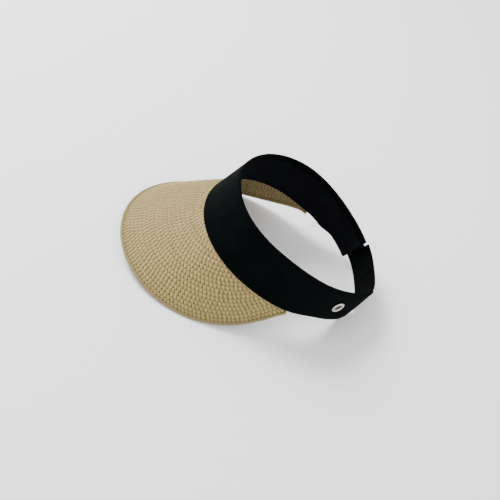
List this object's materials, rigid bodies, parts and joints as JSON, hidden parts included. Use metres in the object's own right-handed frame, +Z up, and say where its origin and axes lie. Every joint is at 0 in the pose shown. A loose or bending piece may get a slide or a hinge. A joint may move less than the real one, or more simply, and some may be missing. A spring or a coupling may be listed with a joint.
{
  "type": "sun visor",
  "caption": "Sun visor with a wide drooping woven straw brim, an open-crown fabric headband and a hook-and-loop strap at the rear that swings open.",
  "frame": {"origin": "on the table under the middle of the visor as it stands at rest: the centre of its bounding box in X and Y, at its lowest point", "axes": "-Y towards the brim's front, +Z up from the table, +X towards the side whose band end carries the stud; the headband's ring is tipped about 21 degrees, front up"},
  "size_m": [0.216, 0.2808, 0.1128],
  "materials": {
    "straw_plait": "matt plaited paper straw with dark gaps between the plaits",
    "straw_hem": "smoother folded straw braid",
    "straw_thread": "straw-coloured sewing thread",
    "clear_nylon": "clear nylon filament",
    "black_twill": "matt black cotton twill",
    "black_lining": "matt black knitted lining",
    "grey_felt": "pressed interlining",
    "black_thread": "black sewing thread with a slight sheen",
    "black_webbing": "black woven strap",
    "black_tape": "black hook-and-loop tape",
    "nickel": "polished nickel",
    "brown_enamel": "dark brown enamel"
  },
  "bodies": {
    "visor": {"brim_straw": "straw_plait", "brim_hem": "straw_hem", "brim_wire": "clear_nylon", "hem_stitches": "straw_thread", "band_cover": "black_twill", "band_lining": "black_lining", "band_stiffener": "grey_felt", "band_top_stitches": "black_thread", "brim_seam_stitches": "black_thread", "strap_root": "black_webbing", "loop_tape": "black_tape", "loop_tape_stitches": "black_thread", "strap_anchor_stitches": "black_thread", "badge_bezel": "nickel", "badge_rivet": "nickel", "badge_washer": "nickel", "badge_inlay": "brown_enamel"},
    "strap": {"strap_web": "black_webbing"},
    "tongue": {"strap_tongue": "black_webbing", "hook_tape": "black_tape", "hook_tape_stitches": "black_thread"}
  },
  "joints": [
    {"name": "strap_swing", "type": "hinge", "parent": "visor", "child": "strap", "pos_m": [0.01926, 0.12405, -0.00452], "axis": [0.0084, -0.3282, -0.9446], "range_deg": [0, 110]},
    {"name": "tongue_peel", "type": "hinge", "parent": "strap", "child": "tongue", "pos_m": [-0.04676, 0.11148, 0.00228], "axis": [-0.0339, -0.3131, -0.9491], "range_deg": [0, 75]}
  ]
}
